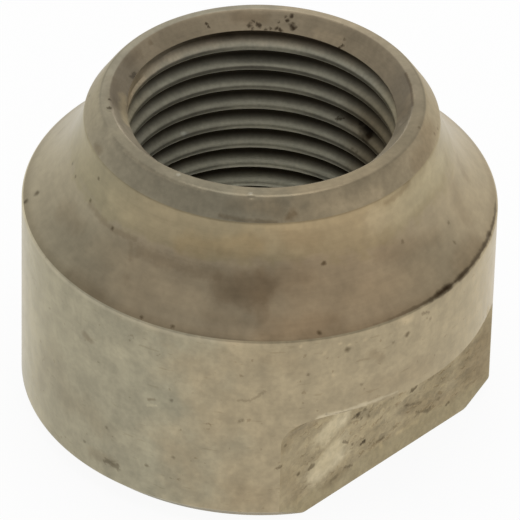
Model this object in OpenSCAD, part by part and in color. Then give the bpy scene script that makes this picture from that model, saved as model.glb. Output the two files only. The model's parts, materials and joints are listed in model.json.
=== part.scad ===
// Cone nut of a wheel hub: a turned steel nut whose hollow cone is the inner ball race.
// It stands on its flat base, with the thread along Z and the spanner flats facing -X and +X.

/* [Body] */
// Diameter of the round body
body_d = 19.5; // [17.6:0.1:24]
// Height of the full round collar between the flats and the shoulder
collar_h = 4.05; // [2:0.05:8]
// Chamfer round the bottom edge, at 45 degrees
base_chamfer = 0.85; // [0.2:0.05:1.5]
// Small break on the shoulder edge, at 45 degrees
edge_break = 0.1; // [0.05:0.05:0.4]

/* [Spanner flats] */
// Width across the two flats
flats_w = 14.9; // [13.6:0.1:16.5]
// Height of the flats, from the base up to the ledge
flats_h = 5.6; // [3:0.1:8]
// Radius the cutter leaves in the corner between a flat and its ledge
flats_corner_r = 1.3; // [0.3:0.1:2]

/* [Ball race] */
// Height of the race, from the shoulder up to the neck
race_h = 3.95; // [3:0.05:6]
// Radius of the hollow that the balls run in
race_r = 6.5; // [4:0.1:14]

/* [Rim] */
// Height of the bevelled rim above the neck
rim_h = 0.95; // [0.4:0.05:2]
// Width of the bevel, measured across the axis
bevel_w = 0.55; // [0.2:0.01:1]
// Break between the bevel and the land on top, at 45 degrees
rim_break = 0.13; // [0.05:0.01:0.3]
// Width of the flat land on top
land_w = 0.42; // [0.2:0.02:1]

/* [Thread] */
// Nominal diameter of the thread
thread_d = 12; // [10:0.5:13]
// Pitch of the thread
thread_pitch = 1; // [0.75:0.05:1.5]
// How far the countersinks open beyond the nominal thread, on each side
mouth_margin = 0.15; // [0.05:0.01:0.4]

/* [Hidden] */
$fn = 180;

// Height that the cutters run past the solid
overrun = 1;
// Depth of a metric inner thread for one millimetre of pitch
thread_depth_ratio = 0.54127;

body_r = body_d / 2;
shoulder_z = flats_h + collar_h;
neck_z = shoulder_z + race_h;
total_h = neck_z + rim_h;

bore_r = thread_d / 2 - thread_depth_ratio * thread_pitch;
mouth_r = thread_d / 2 + mouth_margin;
mouth_depth = mouth_r - bore_r;
land_r = mouth_r + land_w;
rim_r = land_r + rim_break;
neck_r = rim_r + bevel_w;

// The race is one arc from the foot, inside the shoulder, up to the neck
race_foot = [body_r - edge_break, shoulder_z];
race_top = [neck_r, neck_z];
race_chord = race_top - race_foot;
race_outward = [race_chord[1], -race_chord[0]] / norm(race_chord);
race_centre = (race_foot + race_top) / 2 + race_outward * sqrt(race_r ^ 2 - (norm(race_chord) / 2) ^ 2);

// Half section of the turned blank, from the base chamfer up to the countersunk mouth
module half_section() {
  difference() {
    polygon([
      [mouth_r, 0],
      [body_r - base_chamfer, 0],
      [body_r, base_chamfer],
      [body_r, shoulder_z - edge_break],
      race_foot,
      race_top,
      [rim_r, total_h - rim_break],
      [land_r, total_h],
      [mouth_r, total_h],
      [bore_r, total_h - mouth_depth],
      [bore_r, mouth_depth],
    ]);
    translate(race_centre) circle(r = race_r);
  }
}

// What the cutter takes off for one flat: a straight run with a round inner corner under the ledge
module flat_cut() {
  depth = body_r - flats_w / 2 + overrun;
  height = flats_h + overrun;
  rotate([90, 0, 0])
    translate([flats_w / 2, -overrun, -body_r - overrun])
      linear_extrude(height = body_d + 2 * overrun) {
        square([depth, height - flats_corner_r]);
        translate([flats_corner_r, 0]) square([depth - flats_corner_r, height]);
        translate([flats_corner_r, height - flats_corner_r]) circle(r = flats_corner_r);
      }
}

module cone_nut() {
  color([0.56, 0.53, 0.45])
    difference() {
      rotate_extrude() half_section();
      for (turn = [0, 180]) rotate(turn) flat_cut();
    }
}

cone_nut();
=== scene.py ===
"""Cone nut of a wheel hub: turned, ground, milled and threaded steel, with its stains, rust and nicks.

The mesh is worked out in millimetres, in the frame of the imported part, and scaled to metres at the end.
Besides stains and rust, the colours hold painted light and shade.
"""
import json
import math

import bpy
import numpy as np
from mathutils import Matrix, Vector
from mathutils.bvhtree import BVHTree


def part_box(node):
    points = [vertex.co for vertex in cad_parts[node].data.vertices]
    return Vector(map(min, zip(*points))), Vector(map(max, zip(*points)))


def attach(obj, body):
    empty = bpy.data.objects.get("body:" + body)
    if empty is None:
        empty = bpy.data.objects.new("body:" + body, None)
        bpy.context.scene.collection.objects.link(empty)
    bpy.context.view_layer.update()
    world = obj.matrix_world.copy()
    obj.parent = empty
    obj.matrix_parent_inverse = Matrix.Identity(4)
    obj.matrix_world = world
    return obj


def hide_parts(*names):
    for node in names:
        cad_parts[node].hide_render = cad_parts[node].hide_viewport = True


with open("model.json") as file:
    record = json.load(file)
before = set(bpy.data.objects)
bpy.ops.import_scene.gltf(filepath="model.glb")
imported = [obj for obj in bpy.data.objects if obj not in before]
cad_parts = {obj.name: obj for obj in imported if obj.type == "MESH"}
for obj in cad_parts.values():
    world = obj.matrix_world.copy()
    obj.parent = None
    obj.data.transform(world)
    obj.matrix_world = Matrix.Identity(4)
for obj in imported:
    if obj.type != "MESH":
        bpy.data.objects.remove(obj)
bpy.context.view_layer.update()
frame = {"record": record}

MM = 0.001
MICROMETRE = 1e-6

# Sizes of the solid, in millimetres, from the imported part
_, high_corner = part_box("cone_nut")
mounts = {m["name"]: m for m in frame["record"]["mounts"]}
BODY_R = high_corner.x / MM
TOTAL_H = high_corner.z / MM
CREST_R = mounts["thread"]["dims"]["r_mm"]
FLAT_X = mounts["flat_right"]["pos_m"][0] / MM

# Sizes of the section, in millimetres
BASE_CHAMFER = 0.85
FLATS_H = 5.6
FLATS_CORNER_R = 1.3
SHOULDER_BREAK = 0.1
RACE_H = 3.95
RACE_R = 6.5
RIM_H = 0.95
BEVEL_W = 0.55
RIM_BREAK = 0.13
LAND_W = 0.42
MOUTH_R = 6.15
LAND_R = MOUTH_R + LAND_W
RIM_R = LAND_R + RIM_BREAK
NECK_R = RIM_R + BEVEL_W
NECK_Z = TOTAL_H - RIM_H
SHOULDER_Z = NECK_Z - RACE_H
# Bore of the blank, which the tap then cuts wider
CORE_R = 5.2
# Lengths by which edges are rounded off
EDGE = 0.06
WORN_EDGE = 0.09

# The photograph's camera, and the frame that its pixels are counted in
PHOTO_SIZE = 520
CAMERA_AZIMUTH = math.radians(43.21)
CAMERA_ELEVATION = math.radians(37.294)
CAMERA_ROLL = math.radians(1.527)
CAMERA_DISTANCE = 280.9
CAMERA_PIVOT = Vector((0, 0, 6.748))
AIM_RIGHT = 0.064
AIM_UP = -0.359
SENSOR = 36.0
LENS = 472.17
CLIP_START = 0.01
CLIP_END = 20

# Directions across the axis: to the right in the photograph, and towards its camera
PICTURE_RIGHT = Vector((math.cos(CAMERA_AZIMUTH), math.sin(CAMERA_AZIMUTH), 0))
FRONT = Vector((math.sin(CAMERA_AZIMUTH), -math.cos(CAMERA_AZIMUTH), 0))
# How far the edge of the upper countersink lies off the axis, to the back and to the left
MOUTH_BACK = 0.12
MOUTH_LEFT = 0.04
MOUTH_SHIFT = -FRONT * MOUTH_BACK - PICTURE_RIGHT * MOUTH_LEFT

# Thread: metric, right-hand; shares and eases are parts of the pitch
PITCH = 1.0
GROOVE_R = 6.0
CREST_SHARE = 0.25
ROOT_SHARE = 0.125
CREST_EASE = 0.08
ROOT_EASE = 0.03
# Height of the lower edge of a crest at the back of the hole, and from it on the X axis
BACK_CREST_Z = 13.0
CREST_Z_AT_X = BACK_CREST_Z - (CAMERA_AZIMUTH + math.pi / 2) / math.tau * PITCH
# Height at which the groove starts to run out, and the rise over which it does
RUN_OUT_Z = 13.64
RUN_OUT_H = 0.24

# Mesh density: columns round the nut and the tap, and steps in each band of the section
FLAT_COLUMNS = 70
ARC_COLUMNS = 140
TAP_COLUMNS = 240
EASE_STEPS = 3
BASE_STEPS = 4
FLAT_STEPS = 16
CORNER_STEPS = 10
COLLAR_STEPS = 8
RACE_STEPS = 28
BEVEL_STEPS = 9
LAND_STEPS = 5
SINK_STEPS = 6
# How steeply the rounding of the ledge's edge fades out at its ends
LEDGE_FADE = 6

BODY, RACE, RIM, THREAD, FLAT = range(5)
REGION_NAMES = ("turned_body", "ground_race", "turned_rim", "cut_thread", "milled_flat")

# Kinds of mark: tint of the steel, change of roughness, raggedness and softness of the edge. Some darken for
# real stains and as painted shade, and some lighten as painted highlights.
KINDS = {
    # darkens for real stains, and as painted shade where a mark is named shade
    "stain_and_shade": ((0.62, 0.56, 0.5), 0.03, 2.0, 0.8),
    "shade": ((0.62, 0.56, 0.5), 0.03, 1.2, 0.45),
    "pale": ((1.3, 1.28, 1.26), 0.0, 2.0, 0.9),
    "gold": ((1.65, 1.62, 1.45), 0.0, 2.0, 0.9),
    "tan": ((0.95, 0.87, 0.75), 0.0, 2.0, 0.9),
    # lightens as a painted highlight, and makes the steel a little smoother
    "polish_and_highlight": ((1.45, 1.52, 1.65), -0.05, 2.0, 0.7),
    "pit": ((0.3, 0.26, 0.2), 0.1, 4.0, 0.7),
    "speck": ((0.3, 0.26, 0.2), 0.1, 1.8, 0.8),
    "rust": ((0.13, 0.09, 0.05), 0.15, 3.5, 0.7),
}

# Smears and streaks as the photograph shows them, and lines and patches of painted shade and painted
# highlight:
# name, kind, pixels along it, radius in millimetres and strength
SMEARS_AND_PAINTED_LIGHT = [
    ("sink stain far left", "stain_and_shade", [(150, 42)], 0.1, 0.7),
    ("sink stain left", "stain_and_shade", [(127, 62), (138, 52)], 0.2, 0.4),
    ("sink smudge left", "rust", [(131, 77), (135, 73)], 0.09, 0.6),
    ("sink brown at the left", "stain_and_shade", [(114, 80), (112, 100)], 0.3, 0.35),
    ("sink golden streak", "gold", [(123, 96), (123, 108), (126, 122)], 0.2, 0.85),
    ("sink pale right", "pale", [(409, 97), (406, 110), (399, 117)], 0.2, 0.9),
    ("sink shade back", "stain_and_shade", [(236, 16), (262, 18)], 0.3, 0.6),
    ("sink pale back right", "pale", [(318, 34), (338, 40)], 0.25, 0.8),
    ("mouth line right", "stain_and_shade", [(405, 73), (410, 86), (412, 105)], 0.06, 0.9),
    # painted highlight along the rim's rounded outer edge
    ("rim light line left", "pale", [(124, 150), (146, 168), (173, 181), (205, 190)], 0.07, 0.8),
    ("bevel shade right", "stain_and_shade", [(428, 130), (420, 165)], 0.5, 0.5),
    ("bevel pale front right", "pale", [(318, 208), (375, 195)], 0.4, 0.8),
    ("bevel shade front", "stain_and_shade", [(232, 204), (278, 207)], 0.3, 0.3),
    ("bevel smudge left", "stain_and_shade", [(96, 146), (99, 150)], 0.18, 0.6),
    ("bevel smudge front", "stain_and_shade", [(288, 217), (293, 213)], 0.16, 0.8),
    ("neck line front", "stain_and_shade", [(220, 215), (245, 220), (275, 222)], 0.09, 0.6),
    ("neck line right", "stain_and_shade", [(385, 203), (400, 192), (408, 182)], 0.13, 0.5),
    ("race smear left", "stain_and_shade", [(57, 134), (62, 128)], 0.12, 0.4),
    ("race smear down", "stain_and_shade", [(131, 240), (130, 258)], 0.1, 0.3),
    ("race smear low", "stain_and_shade", [(126, 278)], 0.16, 0.3),
    ("race brown streak", "stain_and_shade", [(457, 158), (466, 177)], 0.25, 0.4),
    ("race shade low right", "stain_and_shade", [(460, 264), (476, 244)], 0.5, 0.55),
    ("race shade far right", "stain_and_shade", [(454, 186), (463, 214)], 0.45, 0.3),
    ("race shade right", "stain_and_shade", [(380, 254), (408, 246), (434, 236)], 0.35, 0.3),
    # painted highlight on the upper right of the race
    ("race pale high right", "polish_and_highlight", [(372, 222), (396, 212), (420, 191), (440, 162)], 0.5, 0.42),
    ("race pale right", "pale", [(352, 298), (376, 290), (425, 266)], 0.45, 0.4),
    ("race pale high left", "pale", [(113, 198), (130, 214)], 0.4, 0.6),
    ("race pale low left", "pale", [(98, 246), (130, 264)], 0.45, 0.6),
    ("race shade left", "stain_and_shade", [(62, 208), (78, 224)], 0.4, 0.4),
    ("race line left", "stain_and_shade", [(89, 203), (101, 219), (114, 230), (135, 239)], 0.12, 0.45),
    ("race golden patch", "tan", [(184, 243), (216, 247), (252, 243)], 0.45, 0.6),
    ("race shade high front", "stain_and_shade", [(288, 240), (314, 238)], 0.4, 0.25),
    ("race shade low front", "stain_and_shade", [(212, 317), (242, 327)], 0.4, 0.3),
    ("race dark patch", "shade", [(230, 288), (256, 289)], 0.72, 0.6),
    ("race dark patch middle", "stain_and_shade", [(236, 290), (262, 292)], 0.5, 0.35),
    ("race dark patch right", "stain_and_shade", [(262, 276), (306, 278)], 0.45, 0.4),
    ("race dark patch low", "shade", [(258, 304), (262, 314)], 0.35, 0.45),
    # painted shadow along the foot of the race
    ("race shade along the shoulder", "stain_and_shade", [(262, 331), (300, 327), (332, 320)], 0.4, 0.5),
    ("race brown step", "stain_and_shade", [(140, 250), (165, 262), (190, 270), (215, 274)], 0.26, 0.4),
    ("race pale patch left", "pale", [(150, 284), (195, 298)], 0.6, 0.45),
    ("race shade low left", "stain_and_shade", [(72, 272), (86, 284), (100, 294)], 0.3, 0.35),
    ("race pale low front left", "pale", [(118, 282), (140, 300)], 0.4, 0.55),
    ("thread pit", "rust", [(364, 127), (369, 133)], 0.3, 1.0),
    ("thread pit top", "rust", [(362, 122)], 0.19, 0.65),
    ("thread shade over the pit", "stain_and_shade", [(352, 116), (358, 119)], 0.3, 0.85),
    ("thread pit left of it", "rust", [(337, 118), (341, 118)], 0.08, 0.8),
    ("body smear upper left", "stain_and_shade", [(84, 334), (90, 340)], 0.14, 0.7),
    ("body smear low left", "stain_and_shade", [(92, 453), (104, 457), (112, 461)], 0.27, 0.5),
    ("body brown edge low left", "pit", [(104, 461), (112, 462), (117, 468)], 0.13, 0.6),
    ("body shade low left", "stain_and_shade", [(66, 398), (88, 410), (100, 426)], 0.6, 0.35),
    ("body shade far left", "stain_and_shade", [(36, 378), (52, 352), (62, 382)], 0.7, 0.25),
    ("body pale patch left", "pale", [(118, 352), (140, 354), (160, 366)], 0.5, 0.4),
    ("body pale patch low left", "pale", [(122, 436), (140, 446)], 0.5, 0.4),
    ("body pale patch front", "pale", [(160, 425), (176, 440)], 0.5, 0.25),
    ("body shade front", "stain_and_shade", [(268, 358), (290, 362)], 0.5, 0.25),
    ("body shade low front", "stain_and_shade", [(242, 494), (260, 498)], 0.6, 0.3),
    ("body shade right", "stain_and_shade", [(372, 388), (400, 378), (424, 366)], 0.5, 0.22),
    ("body scratch", "pit", [(238, 400), (250, 400), (257, 396), (264, 391)], 0.06, 0.3),
    ("body streak", "stain_and_shade", [(148, 399), (154, 399)], 0.06, 0.7),
    ("body bright streak", "pale", [(147, 405), (155, 405)], 0.06, 0.8),
    ("body smear right", "stain_and_shade", [(372, 353), (380, 357)], 0.2, 0.4),
    ("body pale patch right", "pale", [(398, 322), (410, 318)], 0.16, 0.7),
    ("body rust streak right", "pit", [(422, 313), (428, 312)], 0.07, 0.5),
    # painted highlights along the ledge's edge, and on the smoother patches of the flat
    ("ledge bright streak left", "polish_and_highlight", [(318, 418), (329, 414), (340, 412)], 0.12, 0.8),
    ("ledge bright streak", "polish_and_highlight", [(338, 413), (352, 408), (366, 403)], 0.09, 0.7),
    ("ledge bright streak right", "polish_and_highlight", [(366, 403), (382, 397)], 0.07, 0.65),
    ("ledge bright streak end", "polish_and_highlight", [(382, 397), (397, 391)], 0.045, 0.5),
    ("flat bright patch high", "polish_and_highlight", [(340, 418), (332, 427), (321, 438)], 0.48, 1.0),
    ("flat bright patch low", "polish_and_highlight", [(335, 450), (326, 462), (319, 470)], 0.66, 1.0),
    ("flat bright dash", "pale", [(380, 442), (381, 446)], 0.1, 0.8),
    ("flat shade left", "stain_and_shade", [(285, 446), (294, 432), (312, 422)], 0.3, 0.4),
    ("flat shade right", "stain_and_shade", [(405, 408), (430, 403), (452, 396)], 0.3, 0.4),
    ("flat shade far right", "stain_and_shade", [(475, 365), (482, 340)], 0.9, 0.6),
    ("flat pits", "rust", [(343, 441), (347, 442)], 0.07, 0.55),
    ("flat pit right", "rust", [(360, 444), (364, 441)], 0.08, 0.85),
    ("flat gouge", "pit", [(309, 468), (313, 464)], 0.09, 0.65),
    ("flat shade low", "stain_and_shade", [(322, 487), (335, 477), (347, 468)], 0.22, 0.5),
    ("flat shade low left", "stain_and_shade", [(284, 478), (294, 494)], 0.45, 0.3),
    ("flat gouge edge", "pit", [(276, 468), (281, 465)], 0.06, 0.6),
    ("flat pit high", "pit", [(412, 389), (416, 385)], 0.1, 0.85),
    ("flat pale streak right", "pale", [(397, 432), (408, 426), (417, 420)], 0.09, 0.6),
    ("flat pale streak low left", "pale", [(292, 504), (305, 493)], 0.12, 0.6),
    ("flat streak 1", "pit", [(405, 405), (420, 402)], 0.07, 0.4),
    ("flat streak 2", "pit", [(416, 412), (428, 410)], 0.08, 0.5),
    ("flat streak 3", "pit", [(330, 481), (336, 476)], 0.09, 0.35),
    ("flat streak 4", "pit", [(344, 467), (351, 465)], 0.06, 0.5),
    ("flat streak 5", "pit", [(376, 441), (384, 437)], 0.05, 0.4),
]

# Specks as the photograph shows them, each pixel a speck, some of them painted glints:
# name, kind, pixels, radius in millimetres and strength
SPECKS = [
    ("sink specks left", "rust", [(206, 23), (208, 26)], 0.06, 0.9),
    ("sink specks middle", "rust", [(249, 25), (258, 25)], 0.1, 0.9),
    ("sink specks middle small", "rust", [(252, 28), (253, 21), (265, 29)], 0.06, 0.75),
    ("sink specks at the thread", "rust", [(276, 28), (280, 30)], 0.09, 0.9),
    ("sink specks right", "rust", [(278, 22), (285, 16), (270, 28)], 0.06, 0.75),
    ("sink specks high", "rust", [(291, 15), (287, 19)], 0.09, 0.95),
    ("sink speck red", "rust", [(292, 26)], 0.14, 1.0),
    ("sink specks far right", "rust", [(339, 47), (342, 45)], 0.065, 0.9),
    ("sink speck far right high", "rust", [(344, 39)], 0.06, 0.5),
    ("mouth specks left", "rust", [(109, 99), (110, 107), (108, 107)], 0.07, 0.7),
    ("land specks", "speck", [(89, 95), (419, 127), (437, 128), (434, 133)], 0.07, 0.45),
    # painted glints on the rim's nicks
    ("land bright specks", "polish_and_highlight", [(250, 193), (178, 174)], 0.08, 1.0),
    ("race specks left", "speck", [(36, 193), (25, 201)], 0.12, 0.9),
    ("race specks high left", "speck", [(72, 163), (75, 176), (90, 200)], 0.07, 0.6),
    ("race specks front left", "speck", [(98, 178), (112, 228), (141, 317), (172, 326)], 0.075, 0.75),
    ("race specks front", "speck", [(323, 263), (319, 332)], 0.09, 0.85),
    ("race specks right", "speck", [(448, 222), (402, 241), (454, 242)], 0.08, 0.5),
    ("thread specks low", "speck", [(352, 148), (356, 152)], 0.07, 0.5),
    # painted glint in the thread
    ("thread bright speck", "polish_and_highlight", [(183, 133)], 0.1, 1.0),
    ("body specks low left", "speck", [(84, 441), (106, 427), (146, 465), (173, 457)], 0.075, 0.5),
    ("body specks front", "speck", [(171, 400), (239, 421), (242, 420), (308, 374)], 0.07, 0.5),
    ("body specks right", "speck", [(407, 334), (347, 349)], 0.11, 0.8),
    ("body specks far right", "speck", [(361, 384), (393, 342), (430, 318)], 0.075, 0.4),
    ("body pale specks", "pale", [(324, 353), (333, 375), (120, 357), (365, 339)], 0.09, 0.7),
    ("body pale specks at the shoulder", "pale", [(340, 343), (349, 344), (300, 346)], 0.07, 0.8),
    ("flat specks", "speck", [(352, 444), (285, 445), (357, 414), (361, 418)], 0.07, 0.6),
    ("flat crumbs under the ledge", "pit", [(353, 417), (358, 413), (364, 410), (368, 415)], 0.1, 0.6),
    ("flat crumbs right", "pit", [(406, 405), (416, 414), (429, 408), (437, 399)], 0.1, 0.5),
    ("flat speck low left", "speck", [(298, 473)], 0.1, 0.9),
    ("flat specks right", "speck", [(446, 404), (448, 402)], 0.07, 0.7),
]

# Rust along the shoulder edge: pixel, and radius in millimetres and strength there
SHOULDER_RUST = [
    ((355, 332), 0.05, 0.0),
    ((404, 315), 0.06, 0.35),
    ((420, 306), 0.06, 0.5),
    ((434, 298), 0.08, 0.75),
    ((440, 293), 0.14, 1.0),
    ((447, 288), 0.13, 1.0),
    ((453, 282), 0.07, 0.7),
    ((461, 275), 0.12, 0.9),
    ((468, 267), 0.08, 0.7),
    ((480, 251), 0.07, 0.65),
    ((489, 236), 0.1, 0.8),
    ((494, 222), 0.06, 0.7),
    ((497, 206), 0.05, 0.5),
    ((495, 198), 0.04, 0.0),
]
SHOULDER_RUST_EDGE = 0.85
SHOULDER_RUST_RAGGED = 0.24

# Dents in the steel: name, pixel, radius and depth in millimetres
DENTS = [
    ("rim nick front", (251, 197), 0.14, 0.05),
    ("rim nick front left", (228, 187), 0.12, 0.04),
    ("rim nick left", (178, 176), 0.16, 0.05),
    ("rim step left", (109, 109), 0.2, 0.07),
    ("rim wear left", (110, 128), 0.6, 0.06),
    ("rim nick right", (403, 122), 0.2, 0.05),
    ("thread pit", (366, 129), 0.36, 0.2),
    ("flat pit", (362, 443), 0.15, 0.05),
    ("shoulder nick", (445, 289), 0.2, 0.05),
    ("shoulder nick far right", (489, 236), 0.2, 0.04),
]


# Camera

def camera_axes():
    """Right, up and back of the photograph's camera, and its place in millimetres."""
    right = PICTURE_RIGHT
    back = FRONT * math.cos(CAMERA_ELEVATION) + Vector((0, 0, math.sin(CAMERA_ELEVATION)))
    up = back.cross(right)
    c, s = math.cos(CAMERA_ROLL), math.sin(CAMERA_ROLL)
    right, up = c * right + s * up, c * up - s * right
    place = CAMERA_PIVOT + back * CAMERA_DISTANCE
    back = (place - CAMERA_PIVOT - right * AIM_RIGHT - up * AIM_UP).normalized()
    right = up.cross(back).normalized()
    return right, back.cross(right), back, place


def make_camera():
    right, up, back, place = camera_axes()
    data = bpy.data.cameras.new("photo_camera")
    data.sensor_width = SENSOR
    data.lens = LENS
    data.clip_start = CLIP_START
    data.clip_end = CLIP_END
    camera = bpy.data.objects.new("photo_camera", data)
    turn = Matrix((right, up, back)).transposed()
    camera.matrix_world = Matrix.Translation(place * MM) @ turn.to_4x4()
    bpy.context.scene.collection.objects.link(camera)
    bpy.context.scene.camera = camera


def photo_ray(pixel):
    """Start and direction of the ray through a pixel of the photograph, in millimetres."""
    right, up, back, place = camera_axes()
    middle = (PHOTO_SIZE - 1) / 2
    per_pixel = SENSOR / PHOTO_SIZE / LENS
    x = (pixel[0] - middle) * per_pixel
    y = (middle - pixel[1]) * per_pixel
    return place, (right * x + up * y - back).normalized()


# Section of the turned blank

def eased(before, corner, after, length=EDGE):
    """Points that round off a corner of the section, starting and ending length away from it."""
    p, q, r = (np.array(v, float) for v in (before, corner, after))
    start = q + (p - q) / np.linalg.norm(p - q) * length
    end = q + (r - q) / np.linalg.norm(r - q) * length
    shares = np.linspace(0, 1, EASE_STEPS + 1)
    return [tuple((1 - t) ** 2 * start + 2 * t * (1 - t) * q + t * t * end) for t in shares]


def between(start, end, steps):
    """Points strictly between two points of the section."""
    shares = np.linspace(0, 1, steps + 1)[1:-1]
    return [tuple(np.array(start) * (1 - t) + np.array(end) * t) for t in shares]


def race_arc():
    """The hollow that the balls run in, as points from its foot up to the neck."""
    foot = np.array((BODY_R - SHOULDER_BREAK, SHOULDER_Z))
    top = np.array((NECK_R, NECK_Z))
    chord = top - foot
    half = np.linalg.norm(chord) / 2
    outward = np.array((chord[1], -chord[0])) / (2 * half)
    centre = (foot + top) / 2 + outward * math.sqrt(RACE_R ** 2 - half ** 2)
    first = math.atan2(*(foot - centre)[::-1]) % math.tau
    last = math.atan2(*(top - centre)[::-1]) % math.tau
    turns = np.linspace(first, last, RACE_STEPS + 1)
    return [tuple(centre + RACE_R * np.array((math.cos(u), math.sin(u)))) for u in turns]


def flat_limit(z):
    """Distance from the axis to which the spanner flats cut at a height, or None above them."""
    if z > FLATS_H:
        return None
    rise = max(0.0, z - (FLATS_H - FLATS_CORNER_R))
    return FLAT_X + FLATS_CORNER_R - math.sqrt(FLATS_CORNER_R ** 2 - rise ** 2)


def section_rows():
    """Rows of the blank as (radius, height, region of the band that follows, is the ledge's edge)."""
    arc = race_arc()
    base_in = (MOUTH_R, 0)
    base_out = (BODY_R - BASE_CHAMFER, 0)
    wall_low = (BODY_R, BASE_CHAMFER)
    ledge = (BODY_R, FLATS_H)
    wall_top = (BODY_R, SHOULDER_Z - SHOULDER_BREAK)
    rim = (RIM_R, TOTAL_H - RIM_BREAK)
    land = (LAND_R, TOTAL_H)
    mouth = (MOUTH_R, TOTAL_H)
    sink = MOUTH_R - CORE_R
    core_top = (CORE_R, TOTAL_H - sink)
    core_low = (CORE_R, sink)

    def band(points, region):
        return [(r, z, region, False) for r, z in points]

    turns = np.linspace(0, math.pi / 2, CORNER_STEPS + 1)
    corner_z = [FLATS_H - FLATS_CORNER_R + FLATS_CORNER_R * math.sin(u) for u in turns]
    rows = band(eased(core_low, base_in, base_out), RIM)
    rows += band(between(base_in, (FLAT_X, 0), BASE_STEPS), RIM)
    rows += band(eased(base_in, base_out, wall_low), BODY)
    rows += band(eased(base_out, wall_low, wall_top), BODY)
    rows += band(between(wall_low, (BODY_R, corner_z[0]), FLAT_STEPS), BODY)
    rows += band([(BODY_R, z) for z in corner_z], BODY)
    rows.append((*ledge, BODY, True))
    rows += band([(BODY_R, FLATS_H + EDGE)], BODY)
    rows += band(between(ledge, wall_top, COLLAR_STEPS), BODY)
    rows += band(eased(ledge, wall_top, arc[0], SHOULDER_BREAK / 2), BODY)
    rows += band(eased(wall_top, arc[0], arc[1], SHOULDER_BREAK / 2), RACE)
    rows += band(arc[1:-1], RACE)
    neck = eased(arc[-2], arc[-1], rim)
    rows += band(neck[:-1], RACE)
    rows += band(neck[-1:], RIM)
    rows += band(between(arc[-1], rim, BEVEL_STEPS), RIM)
    rows += band(eased(arc[-1], rim, land, WORN_EDGE), RIM)
    rows += band(eased(rim, land, mouth, WORN_EDGE), RIM)
    rows += band(between(land, mouth, LAND_STEPS)[1:-1], RIM)
    rows += band(eased(land, mouth, core_top, WORN_EDGE), RIM)
    rows += band(between(mouth, core_top, SINK_STEPS), RIM)
    rows += band([core_top, core_low], RIM)
    return rows


def ring(r, z, limit, is_edge):
    """Points of the blank at one height: two flats, or their place on the round, and the arcs between."""
    cut = limit is not None and limit < r - EDGE
    alpha = math.pi / 2 * (FLAT_COLUMNS + 2) / (FLAT_COLUMNS + ARC_COLUMNS + 2)
    if cut:
        alpha = math.acos(limit / r)
    elif is_edge:
        alpha = math.acos((FLAT_X + FLATS_CORNER_R) / r)
    shares = np.linspace(-1, 1, FLAT_COLUMNS)
    across = np.tan(alpha) * (1 - EDGE / (r * math.sin(alpha))) * shares
    inset = EDGE * np.clip((1 - abs(shares)) * LEDGE_FADE, 0, 1) if is_edge else 0
    reach = limit if cut else (r - inset) * np.cos(np.arctan(across))
    flat = np.stack([reach + 0 * across, reach * across], -1)
    gap = EDGE / r
    angles = np.linspace(alpha + gap, math.pi - alpha - gap, ARC_COLUMNS)
    arc = r * np.stack([np.cos(angles), np.sin(angles)], -1)
    corner = r * np.array([math.cos(alpha), math.sin(alpha)])
    if cut:
        corner = (flat[-1] + 2 * corner + arc[0]) / 4
    half = np.concatenate([[corner * (1, -1)], flat, [corner], arc])
    heights = np.full(len(half), z)
    if is_edge:
        heights += EDGE / 2
        heights[1:FLAT_COLUMNS + 1] -= inset / 2
    return np.column_stack([np.concatenate([half, -half]), np.concatenate([heights, heights])])


def mouth_share(r, z):
    """How much of the upper countersink's shift a row takes: all at its edge, none at the thread."""
    if z < NECK_Z:
        return 0.0
    on_land = (LAND_R - r) / (LAND_R - MOUTH_R)
    in_sink = (r - CREST_R) / (MOUTH_R - CREST_R)
    return min(max(min(on_land, in_sink), 0.0), 1.0)


def make_mesh(name, points, faces, regions):
    mesh = bpy.data.meshes.new(name)
    mesh.from_pydata([tuple(p) for p in points], [], faces)
    mesh.polygons.foreach_set("material_index", regions)
    return mesh


def blank_mesh():
    """The nut before it is threaded: a closed ring of rows and columns."""
    rows = section_rows()
    rings = []
    for r, z, region, is_edge in rows:
        on_wall = (region == BODY or z == 0) and not is_edge
        points = ring(r, z, flat_limit(z) if on_wall else None, is_edge)
        rings.append(points + mouth_share(r, z) * np.array(MOUTH_SHIFT))
    count, columns = len(rings), len(rings[0])
    half = columns // 2
    faces, regions = [], []
    for i, (_, z, region, is_edge) in enumerate(rows):
        above = (i + 1) % count
        under_ledge = region == BODY and z <= FLATS_H and not is_edge
        for j in range(columns):
            k = (j + 1) % columns
            faces.append((i * columns + j, i * columns + k, above * columns + k, above * columns + j))
            regions.append(FLAT if under_ledge and j % half <= FLAT_COLUMNS else region)
    return make_mesh("blank", np.concatenate(rings), faces, regions)


# Thread

def thread_profile():
    """One pitch of the thread as (share of the pitch, radius), from the lower edge of a crest."""
    flank = (1 - CREST_SHARE - ROOT_SHARE) / 2
    slope = (GROOVE_R - CREST_R) / flank
    c, r = CREST_EASE, ROOT_EASE
    top, root_low, root_high = CREST_SHARE, CREST_SHARE + flank, 1 - flank
    return [
        (0, CREST_R + slope * c / 4),
        (c, CREST_R),
        (top / 2, CREST_R),
        (top - c, CREST_R),
        (top, CREST_R + slope * c / 4),
        (top + c, CREST_R + slope * c),
        (root_low - r, GROOVE_R - slope * r),
        (root_low, GROOVE_R - slope * r / 4),
        (root_low + r, GROOVE_R),
        (root_high - r, GROOVE_R),
        (root_high, GROOVE_R - slope * r / 4),
        (root_high + r, GROOVE_R - slope * r),
        (1 - c, CREST_R + slope * c),
    ]


def run_out(middle_z):
    """Greatest radius of the groove where its middle lies at a height: it fades out below the mouth."""
    share = np.clip((middle_z - RUN_OUT_Z) / RUN_OUT_H, 0, 1)
    return GROOVE_R - (GROOVE_R - CREST_R) * share


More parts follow.
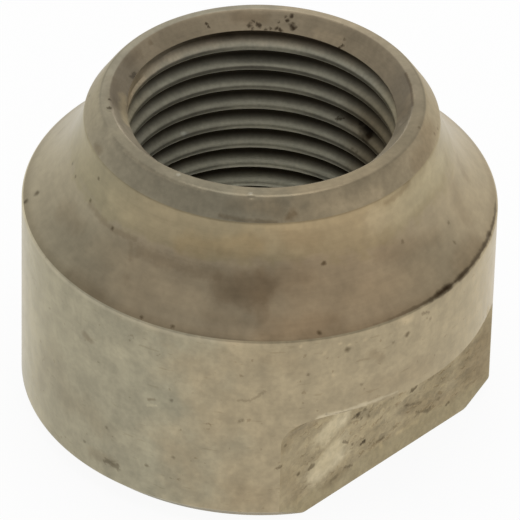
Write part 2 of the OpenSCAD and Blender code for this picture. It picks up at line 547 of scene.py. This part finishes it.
def tap_mesh():
    """What the tap takes out of the blank: a helical solid that runs past both ends."""
    profile = thread_profile()
    per_turn = len(profile)
    start = CREST_Z_AT_X - math.ceil((CREST_Z_AT_X + 2 * PITCH) / PITCH) * PITCH
    turns = math.ceil((TOTAL_H + 2 * PITCH - start) / PITCH)
    rows = per_turn * turns
    angles = np.arange(TAP_COLUMNS) / TAP_COLUMNS * math.tau
    points = []
    for i in range(rows + per_turn + 1):
        share, r = profile[i % per_turn]
        turn = i // per_turn + angles / math.tau
        z = start + (turn + share) * PITCH
        reach = np.minimum(r, run_out(start + (turn + (1 + CREST_SHARE) / 2) * PITCH))
        points.append(np.column_stack([reach * np.cos(angles), reach * np.sin(angles), z]))

    def index(i, j):
        return (i + per_turn) * TAP_COLUMNS if j == TAP_COLUMNS else i * TAP_COLUMNS + j

    faces = []
    for i in range(rows):
        for j in range(TAP_COLUMNS):
            faces.append((index(i, j), index(i, j + 1), index(i + 1, j + 1), index(i + 1, j)))
    low_apex = len(points) * TAP_COLUMNS
    points.append(np.array([[0, 0, start], [0, 0, start + (turns + 1) * PITCH]]))
    for first, apex in ((0, low_apex), (rows, low_apex + 1)):
        loop = [index(first, j) for j in range(TAP_COLUMNS + 1)]
        loop += [index(first + k, 0) for k in range(per_turn - 1, -1, -1)]
        for a, b in zip(loop, loop[1:]):
            faces.append((apex, b, a) if first == 0 else (apex, a, b))
    return make_mesh("tap", np.concatenate(points), faces, [THREAD] * len(faces))


def add_object(name, mesh):
    made = bpy.data.objects.new(name, mesh)
    bpy.context.scene.collection.objects.link(made)
    return made


def apply_modifiers(piece):
    evaluated = piece.evaluated_get(bpy.context.evaluated_depsgraph_get())
    mesh = bpy.data.meshes.new_from_object(evaluated)
    piece.modifiers.clear()
    piece.data = mesh


def threaded_nut(materials):
    """The blank with the tap's turns cut out, still in millimetres."""
    nut = add_object("cone_nut_steel", blank_mesh())
    tap = add_object("tap", tap_mesh())
    for piece in (nut, tap):
        for material in materials:
            piece.data.materials.append(material)
    cut = nut.modifiers.new("thread", "BOOLEAN")
    cut.operation = "DIFFERENCE"
    cut.solver = "MANIFOLD"
    cut.object = tap
    apply_modifiers(nut)
    bpy.data.objects.remove(tap)
    return nut


# Marks and dents

def surface(mesh):
    return BVHTree.FromPolygons([v.co for v in mesh.vertices], [p.vertices for p in mesh.polygons])


def on_surface(tree, pixel):
    """Point, normal and face of the steel that a pixel of the photograph shows."""
    point, normal, face, _ = tree.ray_cast(*photo_ray(pixel))
    if point is None:
        raise ValueError(f"no steel at pixel {pixel}")
    return point, normal, face


def dent(mesh):
    """Pushes small dents into the steel, each with a soft round edge."""
    tree = surface(mesh)
    places = np.array([v.co for v in mesh.vertices])
    for _, pixel, radius, depth in DENTS:
        point, normal, _ = on_surface(tree, pixel)
        near = np.linalg.norm(places - np.array(point), axis=1) / radius
        push = depth * np.clip(1 - near ** 2, 0, 1) ** 2
        places -= push[:, None] * np.array(normal)
    mesh.vertices.foreach_set("co", places.astype(np.float32).ravel())


def rust_stops(mesh):
    """The rust line along the shoulder, as (angle round the axis, radius, strength)."""
    tree = surface(mesh)
    stops = []
    for pixel, radius, strength in SHOULDER_RUST:
        point = on_surface(tree, pixel)[0]
        stops.append((math.atan2(point.y, point.x), radius, strength))
    return stops


def placed_marks(mesh):
    """The marks of each region, as a list of (kind, segments in millimetres, radius, strength)."""
    tree = surface(mesh)
    found = {region: [] for region in range(len(REGION_NAMES))}

    def put(mark, joined):
        _, kind, pixels, radius, strength = mark
        hits = [on_surface(tree, p) for p in pixels]
        points = [h[0] for h in hits]
        ends = points[1:] if joined and len(points) > 1 else points
        for region in {mesh.polygons[h[2]].material_index for h in hits}:
            found[region].append((kind, list(zip(points, ends)), radius, strength))

    # smears, and the lines and patches of painted light and shade
    for smear in SMEARS_AND_PAINTED_LIGHT:
        put(smear, True)
    for specks in SPECKS:
        put(specks, False)
    return found


# Materials

class Nodes:
    """Short calls that build one node tree."""

    def __init__(self, tree):
        self.tree = tree
        tree.nodes.clear()

    def add(self, kind, inputs=None, **settings):
        node = self.tree.nodes.new(kind)
        for key, value in settings.items():
            setattr(node, key, value)
        for key, value in (inputs or {}).items():
            self.feed(node.inputs[key], value)
        return node

    def feed(self, socket, value):
        if isinstance(value, bpy.types.NodeSocket):
            self.tree.links.new(value, socket)
        else:
            socket.default_value = value

    def math(self, operation, a, b=0.0):
        return self.add("ShaderNodeMath", {0: a, 1: b}, operation=operation).outputs[0]

    def times(self, a, b):
        return self.math("MULTIPLY", a, b)

    def vector(self, operation, a, b=(0, 0, 0)):
        node = self.add("ShaderNodeVectorMath", {0: a, 1: b}, operation=operation)
        return node.outputs["Value" if operation in ("DOT_PRODUCT", "DISTANCE", "LENGTH") else "Vector"]

    def scaled(self, vector, factor):
        node = self.add("ShaderNodeVectorMath", {"Vector": vector, "Scale": factor}, operation="SCALE")
        return node.outputs["Vector"]

    def joined(self, x, y, z):
        return self.add("ShaderNodeCombineXYZ", {"X": x, "Y": y, "Z": z}).outputs["Vector"]

    def parts(self, vector):
        outputs = self.add("ShaderNodeSeparateXYZ", {"Vector": vector}).outputs
        return outputs["X"], outputs["Y"], outputs["Z"]

    def step(self, value, start, end, low=0.0, high=1.0):
        """Goes smoothly from low at start to high at end."""
        inputs = {"Value": value, "From Min": start, "From Max": end, "To Min": low, "To Max": high}
        node = self.add("ShaderNodeMapRange", inputs, interpolation_type="SMOOTHSTEP", clamp=False)
        return node.outputs["Result"]

    def noise(self, place, scale, detail=3.0, output="Fac"):
        inputs = {"Vector": place, "Scale": scale, "Detail": detail}
        return self.add("ShaderNodeTexNoise", inputs).outputs[output]

    def mix(self, share, first, second):
        """Mixes two colours; the colour sockets of a Mix node go by number."""
        node = self.add("ShaderNodeMix", data_type="RGBA")
        self.feed(node.inputs["Factor"], share)
        self.feed(node.inputs[6], first)
        self.feed(node.inputs[7], second)
        return node.outputs[2]


# Wobbles that make the edges of marks ragged:
# radius of mark up to which each is used, and times per millimetre
WOBBLES = ((0.09, 11.0), (0.28, 4.0), (math.inf, 1.3))
EDGE_TINT = (1, 0.95, 0.82, 1)
COAT_ROUGHNESS = 0.2
# Values of a noise that count as its low and its high
NOISE_LOW = 0.3
NOISE_HIGH = 0.7


class Steel(Nodes):
    """One region's steel: place in millimetres, marks, and layers of colour, roughness and height."""

    def __init__(self, material, marks, rust_line):
        material.use_nodes = True
        super().__init__(material.node_tree)
        self.place = self.scaled(self.add("ShaderNodeTexCoord").outputs["Object"], 1 / MM)
        self.x, self.y, self.z = self.parts(self.place)
        self.level = self.joined(self.x, self.y, 0.0)
        self.radius = self.vector("LENGTH", self.level)
        self.around = self.vector("NORMALIZE", self.level)
        self.marks = marks
        self.rust_line = rust_line
        self.wobbles = [(limit, self.wobble(scale)) for limit, scale in WOBBLES]

    def wobble(self, scale):
        """A noise that moves a place to and fro, to make edges ragged."""
        return self.vector("SUBTRACT", self.noise(self.place, scale, 3.0, "Color"), (0.5, 0.5, 0.5))

    def wobble_for(self, radius):
        """The wobble that suits a mark of some radius."""
        return next(wobble for limit, wobble in self.wobbles if radius < limit)

    def distance_from(self, centre):
        """Distance from an upright line through a centre."""
        return self.vector("DISTANCE", self.level, centre)

    def side(self, direction, start=-0.5, end=0.6):
        """0 on the side away from a direction and 1 on the side that faces it."""
        return self.step(self.vector("DOT_PRODUCT", self.around, direction), start, end)

    def sideways(self):
        """0 at the front and the back of the photograph's view, and 1 at its left and right."""
        return self.math("ABSOLUTE", self.vector("DOT_PRODUCT", self.around, PICTURE_RIGHT))

    def mottle(self, scale, detail=4.0):
        """Noise spread evenly over the steel, so many times per millimetre."""
        return self.noise(self.place, scale, detail)

    def turned(self, along, spread, fineness, detail=4.0):
        """Noise drawn out round the axis, as a lathe or a grinder leaves it."""
        x, y, _ = self.parts(self.around)
        lines = self.joined(self.times(x, spread), self.times(y, spread), self.times(along, fineness))
        return self.noise(lines, 1.0, detail)

    def cloudy(self, value, noise, amount):
        """A value that a noise pushes up and down."""
        return self.math("ADD", value, self.times(self.math("SUBTRACT", noise, 0.5), amount))

    def ranged(self, noise, low, high):
        """A noise stretched so that it goes from low to high."""
        return self.step(noise, NOISE_LOW, NOISE_HIGH, low, high)

    def shaded(self, colour, *layers):
        """The colour times each noise, given with the levels that it goes between."""
        for noise, low, high in layers:
            colour = self.scaled(colour, self.ranged(noise, low, high))
        return colour

    def tinted(self, share, colour, tint):
        """The colour, multiplied by a tint where the share is 1."""
        return self.mix(share, colour, self.vector("MULTIPLY", colour, tint))

    def segment(self, place, start, end):
        """Distance from a place to a straight segment."""
        along = end - start
        if not along.length:
            return self.vector("DISTANCE", place, start)
        offset = self.vector("SUBTRACT", place, start)
        share = self.vector("DOT_PRODUCT", offset, along / along.length_squared)
        share = self.math("MINIMUM", self.math("MAXIMUM", share, 0.0), 1.0)
        return self.vector("DISTANCE", offset, self.scaled(along, share))

    def marked(self, kind):
        """A mask of the region's marks of one kind, with ragged and soft edges."""
        _, _, raggedness, softness = KINDS[kind]
        total = None
        for name, segments, radius, strength in self.marks:
            if name != kind:
                continue
            wobble = self.scaled(self.wobble_for(radius), raggedness * radius)
            place = self.vector("ADD", self.place, wobble)
            distance = None
            for start, end in segments:
                piece = self.segment(place, start, end)
                distance = piece if distance is None else self.math("MINIMUM", distance, piece)
            mask = self.step(distance, radius * (1 + softness), radius * (1 - softness), 0.0, strength)
            total = mask if total is None else self.math("MAXIMUM", total, mask)
        return total

    def rust_along_shoulder(self):
        """A mask of the rust line, whose width and strength change with the angle round the axis."""
        first, last = self.rust_line[0][0], self.rust_line[-1][0]
        angle = self.math("ARCTAN2", self.y, self.x)
        share = self.math("DIVIDE", self.math("SUBTRACT", angle, first), last - first)
        ramp = self.add("ShaderNodeValToRGB", {"Fac": share})
        stops = ramp.color_ramp.elements
        stops[0].color = stops[1].color = (0, 0, 0, 1)
        for at, radius, strength in self.rust_line[1:-1]:
            stops.new((at - first) / (last - first)).color = (radius, strength, 0, 1)
        radius, strength, _ = self.parts(ramp.outputs["Color"])
        section = self.joined(self.radius, self.z, 0.0)
        distance = self.vector("DISTANCE", section, (BODY_R - SHOULDER_BREAK, SHOULDER_Z, 0))
        distance = self.cloudy(distance, self.mottle(2.5, 3.0), SHOULDER_RUST_RAGGED)
        outer = self.times(radius, 1 + SHOULDER_RUST_EDGE)
        inner = self.times(radius, 1 - SHOULDER_RUST_EDGE)
        return self.step(distance, outer, inner, 0.0, strength)

    def finish(self, colour, roughness, height, metallic=1.0, coat=0.0):
        """Adds the marks and joins the layers; height is in micrometres."""
        if self.rust_line:
            colour = self.tinted(self.rust_along_shoulder(), colour, KINDS["rust"][0])
        for kind, (tint, roughening, _, _) in KINDS.items():
            mask = self.marked(kind)
            if mask is None:
                continue
            colour = self.tinted(mask, colour, tint)
            roughness = self.math("ADD", roughness, self.times(mask, roughening))
        bump = self.add("ShaderNodeBump", {"Height": height, "Distance": MICROMETRE, "Strength": 1.0})
        shader = self.add("ShaderNodeBsdfPrincipled", {
            "Base Color": colour,
            "Roughness": roughness,
            "Metallic": metallic,
            "Coat Weight": coat,
            "Coat Roughness": COAT_ROUGHNESS,
            "Specular Tint": EDGE_TINT,
            "Normal": bump.outputs["Normal"],
        })
        self.add("ShaderNodeOutputMaterial", {"Surface": shader.outputs["BSDF"]})

    def heights(self, *layers):
        """Sum of noises, each with its height in micrometres."""
        total = 0.0
        for value, size in layers:
            total = self.math("ADD", total, self.times(value, size))
        return total


# Colours of the turned and ground steel, cooler on the left of the photograph and warmer on its right
BODY_COLOURS = (0.315, 0.285, 0.197, 1), (0.38, 0.31, 0.195, 1)
RACE_COLOURS = (0.302, 0.256, 0.168, 1), (0.372, 0.294, 0.182, 1)
RIM_COLOURS = (0.292, 0.258, 0.184, 1), (0.358, 0.292, 0.192, 1)
# Tints of the race below and above its golden line, and heights between which the line lies
RACE_TINTS = (1.13, 1.08, 1.08, 1), (1.0, 0.96, 0.88, 1)
GOLDEN_Z = 11.75, 12.15
# Colours of the upper countersink at its back, at its sides and in front: darker at the sides as painted
# shade, lighter in front as painted light
SINK_BACK = (0.262, 0.212, 0.14, 1)
SINK_SIDES = (0.178, 0.145, 0.097, 1)
SINK_FRONT = (0.42, 0.36, 0.26, 1)
# Colours of the thread in its upper turns and deep down, and close to the mouth; the lighter deep turns are
# painted light
THREAD_COLOURS = (0.43, 0.41, 0.32, 1), (0.58, 0.56, 0.44, 1)
THREAD_MOUTH = (0.5, 0.43, 0.315, 1)
# Heights in the thread between which each change of colour comes in
NEAR_MOUTH_Z = 13.1, 13.6
DEEP_Z = 11.0, 5.0
BROWN_Z = 10.5, 13.0
SHADE_Z = 13.2, 11.2
BELOW_FIRST_Z = 12.9, 12.6
UPPER_TURNS_Z = 10.4, 12.0
# Radii in the thread between which its crests, flanks and roots come in
CREST_BAND = CREST_R + 0.03, CREST_R
FLANK_BAND = 5.48, 5.6
ROOT_BAND = 5.5, 5.95
# Colours that the clouds of a spanner flat mix
FLAT_COLOURS = (0.34, 0.272, 0.158, 1), (0.37, 0.302, 0.185, 1)
# Size of the tears that the cutter left on a flat, their slope, and times per millimetre along and across it
TEAR = 0.25
TEAR_SLOPE = 0.12
TEARS_ALONG = 1.1
TEARS_ACROSS = 3.0
# Height up to which a flat is smooth, and distances from its middle at which its plain ends come in
SMOOTH_Z = 1.2, 0.7
PLAIN_ENDS = 4.6, 6.2


def grey(level):
    return (level, level, level)


def turned_body(n):
    cloud = n.mottle(0.45)
    patch = n.mottle(1.2)
    fine = n.mottle(4.0)
    grain = n.turned(n.z, 6.0, 7.0)
    drips = n.turned(n.z, 13.0, 0.3, 3.0)
    scratches = n.step(n.turned(n.z, 11.0, 6.0, 2.0), 0.66, 0.74)
    specks = n.step(n.mottle(3.1, 2.0), 0.69, 0.75)
    warm = n.cloudy(n.side(PICTURE_RIGHT, -0.8, 0.2), cloud, 1.2)
    colour = n.mix(n.step(warm, 0.2, 0.9), *BODY_COLOURS)
    colour = n.shaded(colour, (patch, 0.91, 1.09), (fine, 0.93, 1.07))
    colour = n.shaded(colour, (grain, 0.99, 1.01), (drips, 0.95, 1.05))
    colour = n.tinted(n.times(scratches, 0.5), colour, (0.75, 0.72, 0.66))
    colour = n.tinted(n.times(specks, 0.7), colour, (0.7, 0.66, 0.6))
    # Painted highlight: the wall just under the shoulder and the shoulder's edge, lighter on the left of the
    # view
    left = n.side(-PICTURE_RIGHT, -0.3, 0.5)
    shoulder_highlight = n.step(n.z, SHOULDER_Z - 0.32, SHOULDER_Z - 0.14)
    colour = n.tinted(n.times(shoulder_highlight, left), colour, (1.2, 1.19, 1.22))
    edge = n.step(n.z, SHOULDER_Z - 0.13, SHOULDER_Z - 0.09)
    colour = n.tinted(n.times(edge, left), colour, grey(1.2))
    # Painted highlight: lighter towards the left and right rims of the view
    colour = n.tinted(n.step(n.sideways(), 0.85, 0.98), colour, grey(1.14))
    # Painted shade: the base chamfer darker, and also rougher
    shaded_chamfer = n.step(n.z, BASE_CHAMFER, BASE_CHAMFER - 0.15)
    colour = n.tinted(shaded_chamfer, colour, (0.8, 0.78, 0.64))
    roughness = n.math("ADD", n.ranged(fine, 0.32, 0.4), n.times(shaded_chamfer, 0.5))
    n.finish(colour, roughness, n.heights((grain, 1.0), (fine, 6.0), (patch, 12.0)), coat=0.3)


def ground_race(n):
    lines = n.turned(n.z, 2.0, 14.0)
    broad = n.turned(n.z, 2.5, 1.6)
    cloud = n.mottle(0.55)
    patch = n.mottle(1.3)
    fine = n.mottle(3.5)
    warm = n.step(n.cloudy(n.side(PICTURE_RIGHT), cloud, 0.8), 0.15, 0.85)
    colour = n.mix(warm, *RACE_COLOURS)
    golden = n.step(n.cloudy(n.cloudy(n.z, broad, 1.2), patch, 1.0), *GOLDEN_Z)
    colour = n.vector("MULTIPLY", colour, n.mix(golden, *RACE_TINTS))
    # Painted shade: darker and cooler towards the left and right of the view, and darker along the foot by
    # the shoulder
    colour = n.tinted(n.step(n.sideways(), 0.5, 0.9), colour, (0.85, 0.91, 0.94))
    colour = n.tinted(n.step(n.z, SHOULDER_Z + 0.3, SHOULDER_Z), colour, (0.8, 0.78, 0.75))
    colour = n.shaded(colour, (broad, 0.95, 1.05), (cloud, 0.95, 1.05), (patch, 0.95, 1.05))
    colour = n.shaded(colour, (fine, 0.96, 1.04), (lines, 0.985, 1.015))
    roughness = n.ranged(cloud, 0.31, 0.37)
    n.finish(colour, roughness, n.heights((lines, 1.0), (fine, 3.0), (cloud, 20.0)), coat=0.2)


def turned_rim(n):
    lines = n.turned(n.math("ADD", n.z, n.radius), 3.0, 9.0)
    cloud = n.mottle(0.7)
    fine = n.mottle(4.5)
    warm = n.step(n.cloudy(n.side(PICTURE_RIGHT), cloud, 1.0), 0.2, 0.8)
    colour = n.mix(warm, *RIM_COLOURS)
    land = n.step(n.z, TOTAL_H - 0.1, TOTAL_H - 0.03)
    # Painted light and shade on the land: darker in front and at the right of the view, lighter at the back,
    # and a darker line along its outer edge at the back
    colour = n.tinted(n.times(land, n.side(FRONT)), colour, grey(0.86))
    colour = n.tinted(n.times(land, n.side(-FRONT)), colour, (1.1, 1.13, 1.2))
    colour = n.tinted(n.times(land, n.side(PICTURE_RIGHT, 0.6, 0.95)), colour, (0.78, 0.8, 0.82))
    edge = n.step(n.math("ABSOLUTE", n.math("SUBTRACT", n.radius, LAND_R)), 0.06, 0.02)
    colour = n.tinted(n.times(edge, n.side(-FRONT, -0.4, 0.2)), colour, grey(0.8))
    in_sink = n.step(n.distance_from(MOUTH_SHIFT), MOUTH_R + 0.04, MOUTH_R - 0.03)
    # painted shade at the sides of the countersink and painted light in front
    sink = n.mix(n.side(FRONT, -0.7, -0.25), SINK_BACK, SINK_SIDES)
    sink = n.mix(n.side(FRONT, 0.0, 0.35), sink, SINK_FRONT)
    colour = n.mix(in_sink, colour, sink)
    colour = n.shaded(colour, (cloud, 0.9, 1.1), (lines, 0.97, 1.03), (fine, 0.94, 1.06))
    roughness = n.ranged(cloud, 0.36, 0.44)
    metallic = n.math("SUBTRACT", 1.0, n.times(in_sink, 0.5))
    n.finish(colour, roughness, n.heights((lines, 2.0), (fine, 6.0), (cloud, 15.0)), metallic)


def cut_thread(n):
    cloud = n.mottle(1.2)
    fine = n.mottle(6.0)
    sideways = n.sideways()
    # Painted light: the thread lighter deep down
    colour = n.mix(n.step(n.z, *DEEP_Z), *THREAD_COLOURS)
    colour = n.mix(n.step(n.cloudy(n.z, cloud, 0.5), *NEAR_MOUTH_Z), colour, THREAD_MOUTH)
    brown = n.times(n.step(sideways, 0.75, 1.0), n.step(n.z, *BROWN_Z))
    colour = n.tinted(brown, colour, (0.98, 0.91, 0.8))
    shade = n.times(n.side(PICTURE_RIGHT, 0.5, 0.85), n.step(n.z, *SHADE_Z))
    colour = n.tinted(shade, colour, (0.68, 0.6, 0.5))
    # Painted shade: the crests darker at the sides of the view and in the upper turns, and the flanks darker
    # in the middle of the upper turns. The roots are much darker.
    upper_turns = n.times(n.step(n.z, *UPPER_TURNS_Z), n.step(n.z, *BELOW_FIRST_Z))
    dim = n.math("MAXIMUM", n.step(sideways, 0.15, 0.45), upper_turns)
    colour = n.tinted(n.times(n.step(n.radius, *CREST_BAND), dim), colour, grey(0.5))
    flank = n.times(n.step(n.radius, *FLANK_BAND), upper_turns)
    colour = n.tinted(n.times(flank, n.step(sideways, 0.45, 0.1)), colour, grey(0.6))
    colour = n.tinted(n.step(n.radius, *ROOT_BAND), colour, (0.12, 0.1, 0.08))
    colour = n.shaded(colour, (cloud, 0.9, 1.08), (fine, 0.9, 1.1))
    n.finish(colour, n.ranged(fine, 0.55, 0.65), n.heights((fine, 8.0)), metallic=0.5)


def milled_flat(n):
    torn = n.vector("ADD", n.place, n.scaled(n.wobble_for(TEAR), 2 * TEAR))
    x, y, z = n.parts(torn)
    across = n.math("SUBTRACT", z, n.times(y, TEAR_SLOPE))

    def tears(fineness, detail):
        along = n.times(y, TEARS_ALONG * fineness)
        return n.noise(n.joined(along, n.times(across, TEARS_ACROSS * fineness), x), 1.0, detail)

    streaks = tears(1, 5.0)
    chips = tears(2, 3.0)
    cloud = n.mottle(0.6)
    fine = n.mottle(4.5)
    smooth = n.step(n.cloudy(n.z, cloud, 0.8), *SMOOTH_Z)
    ends = n.step(n.cloudy(n.math("ABSOLUTE", n.y), cloud, 2.5), *PLAIN_ENDS)
    bright = n.marked("polish_and_highlight")
    plain = n.math("MAXIMUM", n.math("MAXIMUM", smooth, ends), bright)
    colour = n.mix(n.step(cloud, 0.35, 0.65), *FLAT_COLOURS)
    rough_colour = n.shaded(colour, (streaks, 0.82, 1.12), (chips, 0.92, 1.06))
    chipped = n.times(n.step(chips, 0.58, 0.66), 0.8)
    rough_colour = n.tinted(chipped, rough_colour, (0.62, 0.57, 0.5))
    colour = n.mix(plain, rough_colour, colour)
    colour = n.tinted(smooth, colour, (0.93, 0.95, 0.95))
    colour = n.shaded(colour, (fine, 0.91, 1.09))
    roughness = n.ranged(streaks, 0.46, 0.38)
    height = n.heights((streaks, 25.0), (chips, 14.0), (fine, 8.0))
    height = n.times(height, n.math("SUBTRACT", 1.0, n.times(bright, 0.7)))
    n.finish(colour, roughness, height, coat=0.2)


# Floor and light

WHITE = (1, 1, 1, 1)
FLOOR_HALF = 2.0
FLOOR_SHADOW = 0.07
LAMP_SIZE = 0.5
LAMP_HEIGHT = 0.7
LAMP_LEVEL = 1.5
# The world dims above the horizon and towards the front: where each sets in, and by how much
ABOVE_HORIZON = -0.02, 0.25
TO_THE_FRONT = -0.75, 0.0
WORLD_DIM = 0.45
SHARP_ANGLE = math.radians(35)


def make_floor():
    half = FLOOR_HALF
    corners = [(-half, -half, 0), (half, -half, 0), (half, half, 0), (-half, half, 0)]
    floor = add_object("floor", make_mesh("floor", corners, [(0, 1, 2, 3)], [0]))
    material = bpy.data.materials.new("white_floor")
    material.use_nodes = True
    n = Nodes(material.node_tree)
    path = n.add("ShaderNodeLightPath").outputs
    seen = n.math("MAXIMUM", path["Is Camera Ray"], path["Is Glossy Ray"])
    seen = n.math("MAXIMUM", seen, path["Is Transmission Ray"])
    paper = n.add("ShaderNodeBsdfDiffuse", {"Color": WHITE}).outputs[0]
    glow = n.add("ShaderNodeEmission", {"Color": WHITE, "Strength": 1.0}).outputs[0]
    share = n.times(seen, 1 - FLOOR_SHADOW)
    mixed = n.add("ShaderNodeMixShader", {0: share, 1: paper, 2: glow}).outputs[0]
    n.add("ShaderNodeOutputMaterial", {"Surface": mixed})
    floor.data.materials.append(material)


def make_world():
    """A bright low horizon all round and a bright back, with dimmer upper sides and front."""
    world = bpy.data.worlds.new("studio")
    world.use_nodes = True
    bpy.context.scene.world = world
    n = Nodes(world.node_tree)
    direction = n.add("ShaderNodeTexCoord").outputs["Generated"]
    height = n.parts(direction)[2]
    front = n.vector("DOT_PRODUCT", direction, FRONT)
    dim = n.times(n.step(height, *ABOVE_HORIZON), n.step(front, *TO_THE_FRONT))
    level = n.math("SUBTRACT", 1.0, n.times(dim, WORLD_DIM))
    background = n.add("ShaderNodeBackground", {"Color": WHITE, "Strength": level}).outputs[0]
    n.add("ShaderNodeOutputWorld", {"Surface": background})


def make_lamp():
    """A broad soft lamp overhead."""
    data = bpy.data.lights.new("overhead", "AREA")
    data.shape = "DISK"
    data.size = LAMP_SIZE
    data.energy = LAMP_LEVEL * (math.pi * LAMP_SIZE / 2) ** 2
    lamp = bpy.data.objects.new("overhead", data)
    lamp.location = (0, 0, LAMP_HEIGHT)
    bpy.context.scene.collection.objects.link(lamp)


make_camera()
materials = [bpy.data.materials.new(name) for name in REGION_NAMES]
nut = threaded_nut(materials)
marks = placed_marks(nut.data)
rust_line = rust_stops(nut.data)
dent(nut.data)
for region, paint in enumerate((turned_body, ground_race, turned_rim, cut_thread, milled_flat)):
    paint(Steel(materials[region], marks[region], rust_line if region in (BODY, RACE) else None))
nut.data.transform(Matrix.Scale(MM, 4))
nut.data.shade_smooth()
nut.data.set_sharp_from_angle(angle=SHARP_ANGLE)
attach(nut, "root")
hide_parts("cone_nut")
make_floor()
make_world()
make_lamp()
bpy.context.scene.view_settings.view_transform = "Standard"
